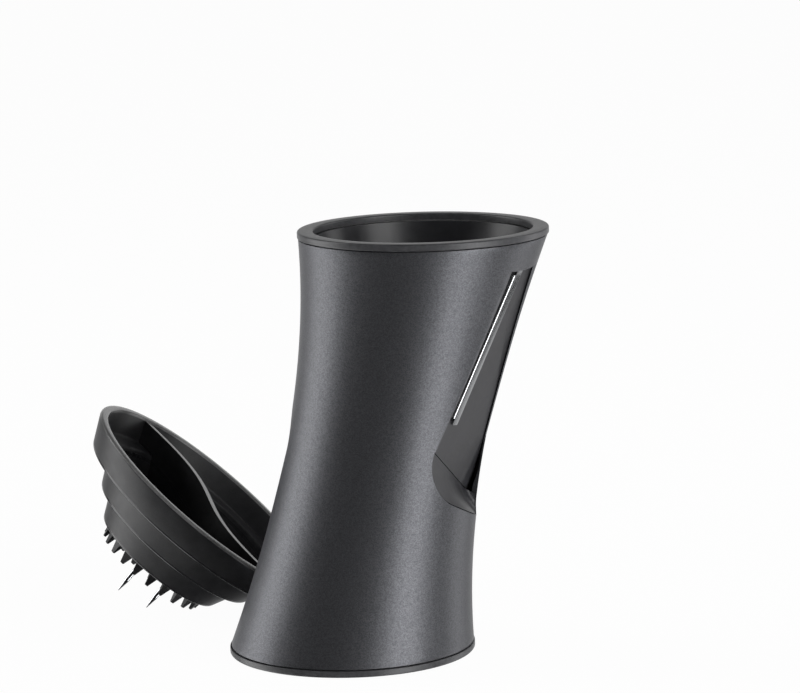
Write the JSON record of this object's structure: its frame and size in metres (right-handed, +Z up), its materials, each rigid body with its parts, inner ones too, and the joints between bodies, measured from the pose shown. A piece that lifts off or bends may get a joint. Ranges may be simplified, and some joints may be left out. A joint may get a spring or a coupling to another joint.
{
  "type": "hand spiral slicer with food holder",
  "caption": "Leaning hourglass hand slicer with a funnel, blade wall and strip comb at each end, and a stepped food holder with spikes and teeth lying beside it.",
  "frame": {"origin": "middle of the bounding box's underside, on the surface that the lower rim ring stands on", "axes": "+Z up, +X towards the side that the upper end leans over, +Y away from the viewer's side, towards the holder's far edge"},
  "size_m": [0.194, 0.128, 0.15],
  "materials": {
    "casing_grey": "dark grey satin with a fine metallic fleck",
    "rim_grey": "satin",
    "insert_black": "smooth semi gloss",
    "holder_black": "fine matte grain",
    "steel": "bright"
  },
  "bodies": {
    "slicer": {"casing": "casing_grey", "upper_rim_ring": "rim_grey", "lower_rim_ring": "rim_grey", "upper_funnel": "insert_black", "lower_funnel": "insert_black", "upper_blade_wall": "insert_black", "lower_blade_wall": "insert_black", "upper_scoop": "insert_black", "lower_scoop": "insert_black", "upper_blade": "steel", "lower_blade": "steel", "upper_strip_comb": "steel", "lower_strip_comb": "steel"},
    "retainer": {"holder_spike_retainer": "holder_black"},
    "holder": {"holder_shell": "holder_black", "holder_grip_web": "holder_black", "holder_tooth_plate": "holder_black", "holder_spike_1": "steel", "holder_spike_2": "steel", "holder_spike_3": "steel"}
  },
  "joints": [
    {"name": "holder_lift", "type": "slide", "parent": "slicer", "child": "retainer", "axis": [0, 0, 1], "range_m": [0, 0.16]},
    {"name": "holder_turn", "type": "hinge", "parent": "retainer", "child": "holder", "pos_m": [-0.05322, 0.01426, 0.04165], "axis": [0.6036, 0.2656, 0.7517], "continuous": true}
  ]
}
